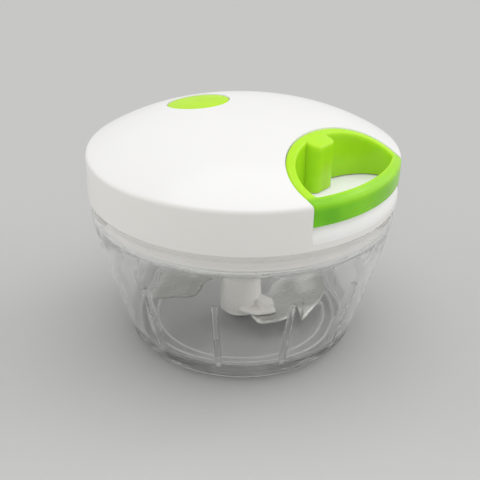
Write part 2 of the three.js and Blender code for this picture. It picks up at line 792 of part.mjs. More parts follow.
// Handle: a loop flush with the dome and the skirt, with a boss inside that hides the cord's end
function makeHandle() {
  const top = skirtTop + domeRise;
  const plan = handlePlan(0, lidRadius + cutOverrun);
  plan.holes.push(handlePlan(-handleWall, lidRadius - handleWall));
  const inner = handleEnd + handleWall / 2;
  const boss = new THREE.Shape();
  boss.moveTo(inner, -bossHalfWidth);
  boss.lineTo(bossFront - bossCorner, -bossHalfWidth);
  boss.absarc(bossFront - bossCorner, bossCorner - bossHalfWidth, bossCorner, -Math.PI / 2, 0, false);
  boss.absarc(bossFront - bossCorner, bossHalfWidth - bossCorner, bossCorner, 0, Math.PI / 2, false);
  boss.lineTo(inner, bossHalfWidth);
  const block = raised(boss, handleBottom, top, smallSteps / 4);
  const pocket = disc(knotPocketRadius, handleBottom - cutOverrun, cordHeight + knotRoom, smallSteps);
  const cordWay = barAlongX(cordHoleRadius, handleEnd - cutOverrun, knotPocketPlace, cordHeight);
  const loop = raised(plan, handleBottom, top).add(block).intersect(underDome(handleBottom - cutOverrun));
  const handle = loop.subtract(pocket.translate([knotPocketPlace, 0, 0])).subtract(cordWay);
  return piece('pull_handle', handle, greenPlastic());
}

const bowlGroup = new THREE.Group();
bowlGroup.add(makeBowl(), makePivotPin());

const rotorGroup = new THREE.Group();
rotorGroup.add(
  makeHub(),
  makeHubCap(),
  makeHubSpacer(),
  makeBlade('lower_blade', lowerBladeHeight, lowerBladeTurn),
  makeBlade('upper_blade', upperBladeHeight, upperBladeTurn),
);

const lidGroup = new THREE.Group();
lidGroup.add(
  makeTopCover(),
  makeInlay(),
  makeLidBase(),
  makeSealRing(),
  ...makeLidScrews(),
  makeDriveBush(),
  makeSpringPost(),
  makeSpring(),
  makeEyelet(),
  makeCordLead(),
);

const driveGroup = new THREE.Group();
driveGroup.add(makeDriveShaft(), makeRetainingRing(), makeClutchHub(), ...makeClutchPawls());

const reelGroup = new THREE.Group();
reelGroup.add(makeReel(), makeReelCover(), makeClutchRing(), makeWoundCord());

const handleGroup = new THREE.Group();
handleGroup.add(makeHandle(), makeCordStop());

const chopper = new THREE.Group();
chopper.add(bowlGroup, rotorGroup, lidGroup, driveGroup, reelGroup, handleGroup);

export default chopper;
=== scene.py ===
import math

import bmesh
import bpy
from mathutils import Matrix, Vector


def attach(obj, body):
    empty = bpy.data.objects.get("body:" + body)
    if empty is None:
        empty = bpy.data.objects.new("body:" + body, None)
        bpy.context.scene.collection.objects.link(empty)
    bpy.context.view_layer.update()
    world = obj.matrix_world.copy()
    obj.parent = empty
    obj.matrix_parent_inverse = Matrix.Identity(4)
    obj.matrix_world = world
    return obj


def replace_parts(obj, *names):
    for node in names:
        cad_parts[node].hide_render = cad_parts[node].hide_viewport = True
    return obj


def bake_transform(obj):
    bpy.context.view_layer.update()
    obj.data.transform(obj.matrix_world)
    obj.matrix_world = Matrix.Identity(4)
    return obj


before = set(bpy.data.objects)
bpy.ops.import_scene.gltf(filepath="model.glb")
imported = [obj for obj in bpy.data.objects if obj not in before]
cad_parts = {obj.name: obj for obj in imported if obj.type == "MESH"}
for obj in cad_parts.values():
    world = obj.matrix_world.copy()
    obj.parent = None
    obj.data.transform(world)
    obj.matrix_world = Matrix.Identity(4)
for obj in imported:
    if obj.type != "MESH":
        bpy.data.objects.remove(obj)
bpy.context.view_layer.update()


# Bowl: one clear styrene moulding. Its wall flares up from a foot ring to a straight collar at the
# mouth, the floor steps up to the heel, twelve ribs stand inside the wall and three lugs outside it.
mm = 0.001
bowl_clear = (0.995, 0.997, 0.994)
bowl_straight = (0.96, 0.965, 0.96)
bowl_shade = (0.957, 0.959, 0.957)
heel_shade = (0.62, 0.62, 0.61)
# the white painted as highlight lines on the crests of the floor's rings and the foot's lower edge
crest_painted_highlight = (0.9, 0.9, 0.9)
bowl_bend = 1.32
bowl_rings = (36.8, 41.1, 44.9)
ring_low, ring_high = (0.0045, 0.0052), (0.0084, 0.0095)
rib_count = 12
rib_turn = -1
rib_half = [(1.0, 0.0), (0.97, 0.55), (0.92, 0.85), (0.75, 0.98), (0.0, 1.0)]  # to the side, outward
rib_shoulder = 0.42
lug_count = 3
lug_levels = (50, 50.8, 51.6, 52.4, 54.5, 56.7)
lug_turn = 0.075
lug_steps = 20
lug_end_steps = 7
lug_swell = 0.65
lug_foot = 2.4
lug_root = 59.4
wall_at_lug, wall_slope = 60.25, 0.1


class Wire:
    """One output of a node. Numbers and other outputs add to it, scale it and raise it."""

    def __init__(self, finish, socket):
        self.finish = finish
        self.socket = socket

    def __add__(self, other):
        return self.finish.worked("ADD", self, other)

    def __radd__(self, other):
        return self.finish.worked("ADD", other, self)

    def __sub__(self, other):
        return self.finish.worked("SUBTRACT", self, other)

    def __rsub__(self, other):
        return self.finish.worked("SUBTRACT", other, self)

    def __mul__(self, other):
        return self.finish.worked("MULTIPLY", self, other)

    def __rmul__(self, other):
        return self.finish.worked("MULTIPLY", other, self)

    def __truediv__(self, other):
        return self.finish.worked("DIVIDE", self, other)

    def __pow__(self, other):
        return self.finish.worked("POWER", self, other)


class Finish:
    """A material of this object. Its nodes are made by node(), and its sums are written as sums."""

    def __init__(self, name, **constants):
        self.material = bpy.data.materials.new(name)
        self.material.use_nodes = True
        self.tree = self.material.node_tree
        self.shader = self.tree.nodes["Principled BSDF"]
        self.solid = Wire(self, self.shader.outputs[0])
        self.place = self.node("ShaderNodeTexCoord", output="Object")
        self.surface(**constants)

    def node(self, kind, settings=(), values=(), output=0):
        """A node of this kind: its settings are made first, then its sockets get values or links"""
        made = self.tree.nodes.new(kind)
        for setting, value in dict(settings).items():
            setattr(made, setting, value)
        for key, value in dict(values).items():
            self.feed(self.socket(made.inputs, key), value)
        return Wire(self, self.socket(made.outputs, output))

    def socket(self, sockets, key):
        """A socket by its number, or by its name where several share it and one is in use"""
        if isinstance(key, int):
            return sockets[key]
        return next(s for s in sockets if s.enabled and s.name == key)

    def feed(self, socket, value):
        """Links an output to a socket, or sets the socket to a number or a colour"""
        if isinstance(value, Wire):
            self.tree.links.new(value.socket, socket)
        elif socket.type == "RGBA":
            socket.default_value = (*value, 1)
        else:
            socket.default_value = value

    def surface(self, **values):
        """Feeds the shader's sockets, named with _ for each space"""
        for name, value in values.items():
            self.feed(self.shader.inputs[name.replace("_", " ")], value)

    def shown(self, shader, output="Material Output"):
        """Makes this shader the one that is rendered"""
        self.feed(self.tree.nodes[output].inputs["Surface"], shader)

    def worked(self, operation, *values):
        """One step of a sum"""
        return self.node("ShaderNodeMath", {"operation": operation}, dict(enumerate(values)))

    def between(self, value, low, high):
        """0 where the value is low, 1 where it is high, and a smooth step from one to the other"""
        return self.node(
            "ShaderNodeMapRange",
            {"interpolation_type": "SMOOTHSTEP"},
            {"Value": value, "From Min": low, "From Max": high},
        )

    def within(self, value, rise, fall):
        """1 between a rise and a fall, each a (low, high) step, and 0 on both sides of them"""
        return self.between(value, *rise) * (1 - self.between(value, *fall))

    def scaled(self, vector, factors):
        """A vector with each of its parts multiplied"""
        return self.node("ShaderNodeVectorMath", {"operation": "MULTIPLY"}, {0: vector, 1: factors})

    def length(self, vector):
        """How long a vector is"""
        return self.node("ShaderNodeVectorMath", {"operation": "LENGTH"}, {0: vector}, "Value")

    def along(self, axis):
        """The place on the object along one axis, in metres"""
        return self.node("ShaderNodeSeparateXYZ", {}, {0: self.place}, axis)

    def radius(self):
        """The distance from the middle axis, in metres"""
        return self.length(self.scaled(self.place, (1, 1, 0)))

    def ray(self, output):
        """What kind of light ray looks at the surface"""
        return self.node("ShaderNodeLightPath", output=output)

    def mottled(self, size, detail=2.0, stretch=(1, 1, 1)):
        """Soft patches about so many mm across, drawn out along an axis where stretch is under 1"""
        place = self.scaled(self.place, stretch)
        values = {"Vector": place, "Scale": 1 / (size * mm), "Detail": detail}
        return self.node("ShaderNodeTexNoise", {}, values)

    def blended(self, share, first, second):
        """Two colours, with this share of the second"""
        values = {"Factor": share, "A": first, "B": second}
        return self.node("ShaderNodeMix", {"data_type": "RGBA"}, values, "Result")

    def mixed(self, share, first, second):
        """Two shaders, with this share of the second"""
        return self.node("ShaderNodeMixShader", {}, {0: share, 1: first, 2: second})

    def passing(self, shade):
        """A shader that lets light straight through, tinted by a shade"""
        return self.node("ShaderNodeBsdfTransparent", {}, {"Color": shade})

    def raised(self, height, depth, strength=1.0):
        """A relief so many mm deep on the surface"""
        values = {"Strength": strength, "Distance": depth * mm, "Height": height}
        self.surface(Normal=self.node("ShaderNodeBump", {}, values))


def rounded(corners, steps=4):
    """Corners as (x, y) or (x, y, fillet), with each filleted corner drawn as a short curve"""
    most_of_side = 0.48
    path = []
    for i, corner in enumerate(corners):
        here = Vector(corner[:2])
        if len(corner) < 3:
            path.append(tuple(here))
            continue
        before = Vector(corners[i - 1][:2]) - here
        after = Vector(corners[(i + 1) % len(corners)][:2]) - here
        reach = corner[2] / math.tan(before.angle(after) / 2)
        start = here + before.normalized() * min(reach, most_of_side * before.length)
        end = here + after.normalized() * min(reach, most_of_side * after.length)
        for k in range(steps + 1):
            t = k / steps
            path.append(tuple(start * (1 - t) ** 2 + here * 2 * t * (1 - t) + end * t**2))
    return path


def threaded(points, steps=6):
    """A smooth line through points, with both of its ends kept"""
    points = [Vector(p) for p in points]
    ends = [2 * points[0] - points[1], *points, 2 * points[-1] - points[-2]]
    line = []
    for a, b, c, d in zip(ends, ends[1:], ends[2:], ends[3:]):
        for k in range(steps):
            t = k / steps
            bend = (2 * a - 5 * b + 4 * c - d) + t * (3 * (b - c) + d - a)
            line.append(b + 0.5 * t * ((c - a) + t * bend))
    return [tuple(p) for p in line] + [tuple(points[-1])]


def eased(part):
    """0 to 1 with a slow start and a slow end"""
    return part * part * (3 - 2 * part)


def shaded(thing, crisp=34):
    """Smooth shading, with edges that turn by more than so many degrees left crisp"""
    thing.data.shade_smooth()
    thing.data.set_sharp_from_angle(angle=math.radians(crisp))
    return thing


def moulded(name, mesh):
    """A mesh as an object of the scene, its faces turned outward"""
    bmesh.ops.remove_doubles(mesh, verts=mesh.verts, dist=1e-7)
    bmesh.ops.recalc_face_normals(mesh, faces=mesh.faces)
    data = bpy.data.meshes.new(name)
    mesh.to_mesh(data)
    mesh.free()
    thing = bpy.data.objects.new(name, data)
    bpy.context.scene.collection.objects.link(thing)
    return shaded(thing)


def spot(mesh, x, y, z):
    """A vertex at a place given in mm"""
    return mesh.verts.new((x * mm, y * mm, z * mm))


def skinned(mesh, rings, capped=True):
    """Faces from each ring of vertices to the next. A ring may be one vertex, repeated."""
    for first, second in zip(rings, rings[1:]):
        for k in range(len(first)):
            j = (k + 1) % len(first)
            corners = list(dict.fromkeys([first[k], first[j], second[j], second[k]]))
            if len(corners) > 2:
                mesh.faces.new(corners)
    if capped:
        mesh.faces.new(rings[0])
        mesh.faces.new(rings[-1])


def spun(name, section, steps=144):
    """A section of (radius, height) in mm turned about the middle axis"""
    mesh = bmesh.new()
    turns = [2 * math.pi * k / steps for k in range(steps)]
    rings = []
    for radius, height in section:
        reach = radius * mm
        if radius < 1e-6:
            ring = [spot(mesh, 0, 0, height)] * steps
        else:
            places = [(reach * math.cos(a), reach * math.sin(a), height * mm) for a in turns]
            ring = [mesh.verts.new(place) for place in places]
        rings.append(ring)
    skinned(mesh, rings + rings[:1], capped=False)
    return moulded(name, mesh)


def lifted(name, outline, bottom, top):
    """An outline of (x, y) in mm as a solid from one height to another"""
    mesh = bmesh.new()
    skinned(mesh, [[spot(mesh, x, y, height) for x, y in outline] for height in (bottom, top)])
    return moulded(name, mesh)


def round_outline(radius, steps=48, x=0, y=0):
    """A circle round a place, as (x, y)"""
    turns = [2 * math.pi * k / steps for k in range(steps)]
    return [(x + radius * math.cos(a), y + radius * math.sin(a)) for a in turns]


def worked_with(thing, tool, operation):
    """Joins, cuts or trims a piece with another solid, which is used up"""
    step = thing.modifiers.new("step", "BOOLEAN")
    step.object, step.operation, step.solver = tool, operation, "EXACT"
    graph = bpy.context.evaluated_depsgraph_get()
    mesh = bpy.data.meshes.new_from_object(thing.evaluated_get(graph))
    thing.modifiers.clear()
    thing.data = mesh
    bpy.data.objects.remove(tool)
    return shaded(thing)


def gathered(first, *others):
    """Several solids that don't touch as one object"""
    mesh = bmesh.new()
    for thing in (first, *others):
        mesh.from_mesh(thing.data)
    mesh.to_mesh(first.data)
    mesh.free()
    for thing in others:
        bpy.data.objects.remove(thing)
    return shaded(first)


def turned_about(thing, degrees):
    """A piece turned about the middle axis"""
    thing.data.transform(Matrix.Rotation(math.radians(degrees), 4, "Z"))
    return thing


def fitted(thing, finish, body, slot, *nodes):
    """Gives a piece its finish, its body and the CAD nodes that it stands for"""
    thing.data.materials.clear()
    thing.data.materials.append(finish.material)
    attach(thing, body)
    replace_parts(thing, *nodes)
    return thing


outer_wall = threaded([(48.3, 5), (52, 17), (55, 28), (58.3, 40), (60.4, 50), (61, 56.4)], 5)
inner_wall = threaded([(59, 55.6), (58, 50), (55.9, 40), (52.6, 28), (49.6, 17), (47.87, 10.5)], 5)
bowl = spun("bowl_moulding", rounded([
    # under the floor and round the foot ring
    (0, 1), (4.2, 1, 0.3), (4.2, 3.2, 0.5), (40.9, 3.2, 0.6), (40.9, 0, 0.7), (43.5, 0, 0.5),
    (44.9, 0.6, 0.8), (46.4, 2.4),
    # up the outside, over the collar and down the inside
    *outer_wall, (61.7, 56.4, 0.3), (61.7, 64.6, 0.6), (59.3, 64.6, 0.6), (59.3, 56.4, 0.8), *inner_wall,
    # in from the heel over three rings to the boss for the pin
    (47, 8.9), (46.2, 7.9), (45.4, 7.5), (44.9, 8, 0.35), (44.2, 6.9, 0.15), (41.7, 6.7),
    (41.1, 7.2, 0.35), (40.4, 6.1, 0.15), (37.4, 5.9), (36.8, 6.4, 0.35), (36.1, 5.2, 0.15),
    (4.9, 5.2, 0.5), (4.9, 6.2, 0.3), (2.6, 6.2, 0.2), (2.6, 1.8), (0, 1.8),
]))


def bowl_rib(angle):
    """A rib up the inside of the wall to its flat top end, its crest flat between rounded edges"""
    mesh = bmesh.new()
    crest = [(45.6, 5.6), (45.7, 10.5), (47.45, 17), (50.4, 28), (53.2, 37.2), (54.3, 40.7)]
    root = [(47.6, 5.6), (48.9, 10.5), (50.8, 17), (53.8, 28), (56.2, 37.2), (57, 40.9)]
    across = [(-side, out) for side, out in rib_half[:-1]] + rib_half[::-1]
    rows = []
    for (inner, low), (outer, high) in zip(threaded(crest, 5), threaded(root, 5)):
        row = [spot(mesh, outer, -rib_half[0][0], high)]
        for side, out in across:
            reach = inner + (outer - inner) * rib_shoulder * (1 - out)
            row.append(spot(mesh, reach, side, low + (high - low) * rib_shoulder * (1 - out)))
        row.append(spot(mesh, outer, rib_half[0][0], high))
        rows.append(row)
    skinned(mesh, rows)
    return turned_about(moulded("rib", mesh), angle)


def bowl_lug(angle):
    """A low bayonet lug under the collar, blended into the wall at its foot and at both ends"""
    mesh = bmesh.new()
    rows = []
    for level in lug_levels:
        rise = level - lug_levels[0]
        wall = wall_at_lug + wall_slope * rise
        swell = lug_swell * eased(min(rise / lug_foot, 1))
        middle = lug_steps // 2
        corners = []
        for k in range(lug_steps + 1):
            from_end = min(k, lug_steps - k, lug_end_steps) / lug_end_steps
            corners.append((lug_turn * (k - middle) / middle, wall + swell * eased(from_end)))
        corners += [(turn, lug_root) for turn in (lug_turn, 0, -lug_turn)]
        rows.append([
            spot(mesh, reach * math.cos(turn), reach * math.sin(turn), level)
            for turn, reach in corners
        ])
    skinned(mesh, rows)
    return turned_about(moulded("lug", mesh), angle)


ribs = [bowl_rib(rib_turn + 360 / rib_count * k) for k in range(rib_count)]
lugs = [bowl_lug(360 / lug_count * k) for k in range(lug_count)]
worked_with(bowl, gathered(*ribs, *lugs), "UNION")

clear = Finish(
    "bowl_clear_styrene",
    Base_Color=bowl_clear, Transmission_Weight=1.0, IOR=bowl_bend, Specular_IOR_Level=0.5,
)
scuffs = clear.between(clear.mottled(0.5, 4, (1, 1, 0.12)), 0.62, 0.78) * clear.mottled(14)
clear.surface(Roughness=0.02 + 0.16 * scuffs + 0.03 * clear.mottled(6))
clear.raised(clear.mottled(9, 1) + 0.1 * scuffs, 0.25, 0.15)
level = clear.along("Z")
radius = clear.radius()

# places where the plastic bends light less, and light that has already crossed several walls
foot = 1 - clear.between(level, 0.001, 0.0035)
core = 1 - clear.between(radius, 0.007, 0.008)
inside_wall = 1 - clear.between(radius - 0.262 * level, 0.0442, 0.0449)
rib_part = clear.between(level, 0.0085, 0.0095) * inside_wall
collar_edge = clear.within(level, (0.0553, 0.056), (0.0568, 0.0575))
trapped = clear.between(clear.ray("Ray Depth"), 1.5, 5)
straight_share = trapped + 0.25 * foot + 0.85 * core + 0.25 * rib_part + 0.4 * collar_edge
bent = clear.mixed(straight_share, clear.solid, clear.passing(bowl_straight))

# painted highlights: a white diffuse share on the crests of the floor's rings and along the foot's lower
# edge, for the bright lines that these edges show
crest = sum(
    1 - clear.between(clear.worked("ABSOLUTE", radius - ring * mm), 0.0004, 0.0009)
    for ring in bowl_rings
)
crest = crest * clear.within(level, ring_low, ring_high)
foot_edge = clear.between(radius, 0.0448, 0.0452)
foot_edge = foot_edge * clear.within(level, (0.0012, 0.0017), (0.0024, 0.0029))
painted_highlight = clear.node("ShaderNodeBsdfDiffuse", {}, {"Color": crest_painted_highlight})
with_painted_highlights = clear.mixed(0.4 * crest + 0.8 * foot_edge, bent, painted_highlight)

# painted shade: over the thick heel a share of what is seen through the plastic is darkened by
# heel_shade, and light from the lamps goes straight through the wall, dimmed more at the heel
corner = clear.between(radius - 0.5 * level, 0.0435, 0.0445)
corner = corner * (1 - clear.between(level, 0.008, 0.0105))
heel = clear.between(radius, 0.0395, 0.041) * (1 - clear.between(level, 0.008, 0.012))
thick_pass = clear.passing(heel_shade)
seen_with_painted_shade = clear.mixed(0.6 * corner * (1 - foot_edge), with_painted_highlights, thick_pass)
lamp_pass = clear.mixed(heel, clear.passing(bowl_shade), thick_pass)
from_light = clear.ray("Is Shadow Ray") + clear.ray("Is Diffuse Ray")
clear.shown(clear.mixed(from_light, seen_with_painted_shade, lamp_pass))
fitted(bowl, clear, "bowl_unit", "clear_plastic", "bowl")


# Pivot pin: a turned stainless pin pressed into the boss in the middle of the bowl's floor. Its top is
# chamfered so that the rotor drops over it, and fine turning lines run round it.
def bare_metal(name, grain, dark, light, rough, relief):
    """Metal whose grain, a (size, detail, stretch), shows in its colour, gloss and relief"""
    metal = Finish(name, Metallic=1.0)
    lines = metal.mottled(*grain)
    metal.surface(
        Base_Color=metal.blended(lines, dark, light), Roughness=rough[0] + rough[1] * lines
    )
    metal.raised(lines, *relief)
    return metal


pin = spun("bowl_pivot_pin", rounded([
    (0, 2.1), (2.3, 2.1, 0.2), (2.3, 29.2, 0.3), (1.5, 30, 0.2), (0, 30),
]), 48)
pin_steel = bare_metal(
    "pin_turned_steel", (0.25, 3, (0.02, 0.02, 1)),
    (0.5, 0.51, 0.52), (0.66, 0.67, 0.68), (0.16, 0.18), (0.02, 0.4),
)
fitted(pin, pin_steel, "bowl_unit", "blade_steel", "pivot_pin")


# Rotor hub: a white moulded tube that turns on the pin, with a hexagonal head for the drive cup. A cap
# closes its foot. The spacer between the blades has a guard plate and a stop block, which hold the
# root of the lower blade.
hub_white = (0.93, 0.915, 0.88)
hub_shade = (0.89, 0.87, 0.83)
lower_turn = 52
plate_bottom = 10.3
plate_round = 0.5
guard_top, block_top = 11.4, 14
guard = [
    (-4, -6.5), (-0.6, -11.9, 2.5), (3.6, -14.8, 2.5), (9.6, -14.5, 3), (12.4, -13.8, 0.6),
    (12.5, -7.5, 1), (5.5, -4.5),
]
stop_block = [(4.5, -6.5), (7, -12.2, 1), (12.1, -12.2, 0.9), (12.1, -8, 1), (6.5, -3.5)]

hub = spun("rotor_hub", rounded([
    (0, 30.3), (2.6, 30.3), (2.6, 6.5), (4.5, 6.5), (4.5, 20.1), (9, 20.1, 0.1), (8.5, 49, 0.8), (0, 49),
]), 96)
hexagon = rounded([(x, y, 0.4) for x, y in round_outline(5.2, 6)])
worked_with(hub, lifted("hub_head", hexagon, 48.7, 59), "UNION")
hub_cap = spun("rotor_hub_cap", rounded([
    (4.8, 6.5, 0.2), (9, 6.5, 1.9), (9, 8.7, 0.1), (4.8, 8.7, 0.2),
], 8), 96)
hub_spacer = spun("rotor_blade_spacer", rounded([
    (4.8, 10.3, 0.2), (8.2, 10.3), (8.2, 8.85), (9, 8.85, 0.1), (9, 20, 0.1), (8.2, 20), (8.2, 18.5),
    (4.8, 18.5, 0.2),
]), 96)


def drawn_in(corner, middle, inset):
    """A corner moved towards the middle by so much"""
    out = Vector(corner) - middle
    return middle + out * (1 - inset / out.length)


def clamp_plate(outline, top):
    """A plate on the lower blade, given in the blade's own frame, with its upper edge rounded"""
    corners = rounded(outline, 3)
    middle = Vector((sum(x for x, _ in corners), sum(y for _, y in corners))) / len(corners)
    levels = [(0, plate_bottom)]
    for a in (0, 0.5, 1.0, 1.57):
        levels.append((plate_round * (1 - math.cos(a)), top - plate_round * (1 - math.sin(a))))
    mesh = bmesh.new()
    skinned(mesh, [
        [spot(mesh, *drawn_in(corner, middle, inset), height) for corner in corners]
        for inset, height in levels
    ])
    mesh.transform(Matrix.Rotation(math.radians(lower_turn), 4, "Z"))
    return moulded("clamp_plate", mesh)


clamp = worked_with(clamp_plate(guard, guard_top), clamp_plate(stop_block, block_top), "UNION")
worked_with(hub_spacer, clamp, "UNION")
hub_plastic = Finish("rotor_white_plastic", Specular_IOR_Level=0.45)
hub_cloud = hub_plastic.mottled(7, 3)
hub_plastic.surface(
    Base_Color=hub_plastic.blended(hub_plastic.between(hub_cloud, 0.35, 0.7), hub_shade, hub_white),
    Roughness=0.34 + 0.16 * hub_cloud,
)
hub_plastic.raised(hub_plastic.mottled(0.35, 2), 0.02, 0.35)
fitted(hub, hub_plastic, "rotor", "white_plastic", "blade_hub")
fitted(hub_cap, hub_plastic, "rotor", "white_plastic", "hub_cap")
fitted(hub_spacer, hub_plastic, "rotor", "white_plastic", "hub_spacer")


# Blades: two curved knives cut from stainless sheet 1 mm thick, set opposite each other on the hub's
# core. Their flats keep the brushing of the sheet, and the cutting side has a ground bevel.
lower_height, upper_height = 9, 18.8
blade_reach = 41.3
blade_thickness = 1.0
blade_root = 8
blade_bore = 4.8
bevel_width = 0.6
bevel_depth = 0.8
brush_angle, grind_angle = 8, 70
streaks_per_metre, scratches_per_metre = 3600, 900
flat_dark, flat_light = (0.4, 0.405, 0.385), (0.84, 0.84, 0.8)
ground_dark, ground_light = (0.86, 0.86, 0.85), (0.95, 0.95, 0.94)
cutting_side = [(0.05, -0.35), (0.1, -0.45), (0.2, -0.468), (0.32, -0.452), (0.445, -0.402)]
heel_notch = [(0.445, -0.402), (0.5, -0.34), (0.545, -0.268), (0.562, -0.262)]
heel_front = [(0.562, -0.262), (0.552, -0.36), (0.531, -0.497)]
long_edge = [
    (0.531, -0.497), (0.62, -0.405), (0.71, -0.315), (0.83, -0.188), (0.92, -0.058), (0.968, 0.038),
    (0.984, 0.1),
]
spine = [
    (0.984, 0.1), (0.955, 0.15), (0.87, 0.17), (0.74, 0.172), (0.64, 0.19), (0.56, 0.19), (0.47, 0.125),
    (0.377, 0.055), (0.28, 0.02), (0.17, 0.01),
]


def knife(name, height, turn, flat, ground):
    """A blade with a steep bevel along its cutting side, and the root round the hub's core"""
    outline = [((0.02, -0.2), 0.0)]
    outline += [(p, 1.0) for p in threaded(cutting_side, 5)]
    outline += [(p, 0.5) for p in threaded(heel_notch, 3)[1:]]
    outline += [(p, 0.3) for p in threaded(heel_front, 3)[1:-1]]
    outline += [(p, 1.0) for p in threaded(long_edge, 4)]
    outline += [(p, 0.5) for p in threaded(spine, 4)[1:]]
    places = [Vector(p) * blade_reach for p, _ in outline]
    top = height + blade_thickness
    mesh = bmesh.new()
    upper, middle, lower = [], [], []
    for i, (here, (_, ground_share)) in enumerate(zip(places, outline)):
        before, after = places[i - 1], places[(i + 1) % len(places)]
        along = (after - before).normalized()
        inset = here + Vector((-along.y, along.x)) * bevel_width * ground_share
        upper.append(spot(mesh, inset.x, inset.y, top))
        middle.append(spot(mesh, here.x, here.y, top - bevel_depth * ground_share))
        lower.append(spot(mesh, here.x, here.y, height))
    mesh.faces.new(upper)
    mesh.faces.new(lower)
    for i in range(len(places)):
        j = (i + 1) % len(places)
        mesh.faces.new([lower[i], lower[j], middle[j], middle[i]])
        if outline[i][1] + outline[j][1] > 0:
            mesh.faces.new([middle[i], middle[j], upper[j], upper[i]]).material_index = 1
    blade = moulded(name, mesh)
    root = spun("root", [(0, height), (blade_root, height), (blade_root, top), (0, top)], 64)
    hole = spun("hole", [(0, 0), (blade_bore, 0), (blade_bore, 30), (0, 30)], 64)
    worked_with(blade, root, "UNION")
    worked_with(blade, hole, "DIFFERENCE")
    turned_about(blade, turn)
    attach(blade, "rotor")
    blade.data.materials.clear()
    for finish in (flat, ground):
        blade.data.materials.append(finish.material)
    return shaded(blade, 20)


def brushed(name, turn, across, dark, light, low, high):
    """Stainless steel with brushing at an angle across the sheet, a few scratches and water marks, and
    broad light and dark patches painted in as reflections
    """
    steel = Finish(name, Metallic=1.0)
    values = {"Vector": steel.place, "Angle": -math.radians(turn + across)}
    place = steel.node("ShaderNodeVectorRotate", {"rotation_type": "Z_AXIS"}, values)
    drawn = steel.scaled(place, (0.02, 1, 1))
    fine = {"Vector": drawn, "Scale": streaks_per_metre, "Detail": 3}
    coarse = {"Vector": drawn, "Scale": scratches_per_metre, "Detail": 5}
    streaks = steel.node("ShaderNodeTexNoise", {}, fine)
    scratches = steel.node("ShaderNodeTexNoise", {}, coarse)
    marks = steel.between(steel.mottled(8, 4), 0.52, 0.68)
    # painted reflection: broad light and dark patches on the steel
    painted_reflection = steel.between(steel.mottled(16, 1, (1, 0.6, 1)), 0.42, 0.66)
    steel.surface(
        Base_Color=steel.blended((0.4 * streaks + 0.7 * painted_reflection) * (1 - 0.35 * marks), dark, light),
        Roughness=low + (high - low) * streaks + 0.12 * marks,
    )
    steel.raised(streaks + 0.6 * scratches, 0.02, 0.3)
    return steel


for name, height, turn in [
    ("lower", lower_height, lower_turn), ("upper", upper_height, lower_turn + 180),
]:
    flat = brushed(f"{name}_blade_flat", turn, brush_angle, flat_dark, flat_light, 0.22, 0.34)
    ground = brushed(
        f"{name}_blade_ground", turn, grind_angle, ground_dark, ground_light, 0.3, 0.42
    )
    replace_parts(knife(f"{name}_knife", height, turn, flat, ground), f"{name}_blade")


# Lid base: a moulding in natural white plastic that closes the lid from below. Its plug ring goes into
# the bowl, its tray and curved band fill the notch under the handle, and its tower carries the drive.
base_light = (0.945, 0.945, 0.93)
base_deep = (0.92, 0.915, 0.895)
loop_middle, loop_half, loop_back = 50, 29.6, 19.8
past_lid = 67.5
lid_bottom = 64.9
plug_inside = 55.2
slot_count, slot_turn = 3, -46
slot_outline = [(50, -0.45), (60, -0.45), (60, 0.45), (50, 0.45)]
band_slope = [(62.45, 67.4), (62.4, 69), (62.1, 70.5), (61.4, 72.3), (60.3, 73.95)]
screw_turns = [math.radians(a) for a in (50, 130, 230, 310)]
screw_circle = 49
screw_places = [(screw_circle * math.cos(a), screw_circle * math.sin(a)) for a in screw_turns]


def loop_outline(grow, outer, fillet=0.0):
    """The pull loop from above: half an ellipse at the back, straight sides, the lid's round in front"""
    half = loop_half + grow
    reach = math.asin(half / outer)
    corner = outer * math.cos(reach)
    end = (fillet,) if fillet else ()
    front = [reach * (-1 + 2 * k / 24) for k in range(1, 24)]
    back = [math.pi * k / 56 for k in range(1, 56)]
    path = [(loop_middle, -half), (corner, -half, *end)]
    path += [(outer * math.cos(a), outer * math.sin(a)) for a in front]
    path += [(corner, half, *end), (loop_middle, half)]
    path += [(loop_middle - (loop_back + grow) * math.sin(a), half * math.cos(a)) for a in back]
    return rounded(path)


def natural_plastic(name, light, deep, fine=0.5):
    """Satin plastic, a little uneven in colour in soft clouds and swirls, with a fine spark finish"""
    plastic = Finish(name, Specular_IOR_Level=0.4)
    cloud = plastic.mottled(11, 3)
    swirl = plastic.mottled(3, 2, (1, 1, 0.3))
    plastic.surface(
        Base_Color=plastic.blended(plastic.between(cloud + 0.3 * swirl, 0.4, 0.95), deep, light),
        Roughness=0.4 + 0.14 * swirl,
    )
    plastic.raised(plastic.mottled(fine, 3), 0.03, 0.3)
    return plastic


def at_screws(name, radius, steps, bottom, top):
    """A round bar at each screw's place"""
    return [lifted(name, round_outline(radius, steps, x, y), bottom, top) for x, y in screw_places]


base = spun("lid_base_moulding", rounded([
    (0, lid_bottom), (plug_inside, lid_bottom, 0.8), (plug_inside, 56.3, 0.4), (57.9, 56.3, 0.3),
    (57.9, 57.1, 0.15), (57.4, 57.1), (57.4, lid_bottom, 0.3), (60, lid_bottom, 0.3),
    (60, 66.9, 0.3), (0, 66.9),
]))
tray = worked_with(
    lifted("tray", loop_outline(2, past_lid), 65.9, 73.9),
    spun("tray_limit", [(0, 60), (60, 60), (60, 80), (0, 80)]), "INTERSECT",
)
band = worked_with(
    lifted("band", loop_outline(0, past_lid), 67.55, 73.9),
    spun("band_limit", [(0, 60), (62.45, 60), *threaded(band_slope), (0, 80)], 192), "INTERSECT",
)
worked_with(base, worked_with(tray, band, "UNION"), "UNION")
tray_hollow = worked_with(
    lifted("tray_hollow", loop_outline(-2, 60), 60, 71.9),
    spun("hollow_limit", [(0, 50), (plug_inside, 50), (plug_inside, 80), (0, 80)]), "INTERSECT",
)
worked_with(base, tray_hollow, "DIFFERENCE")
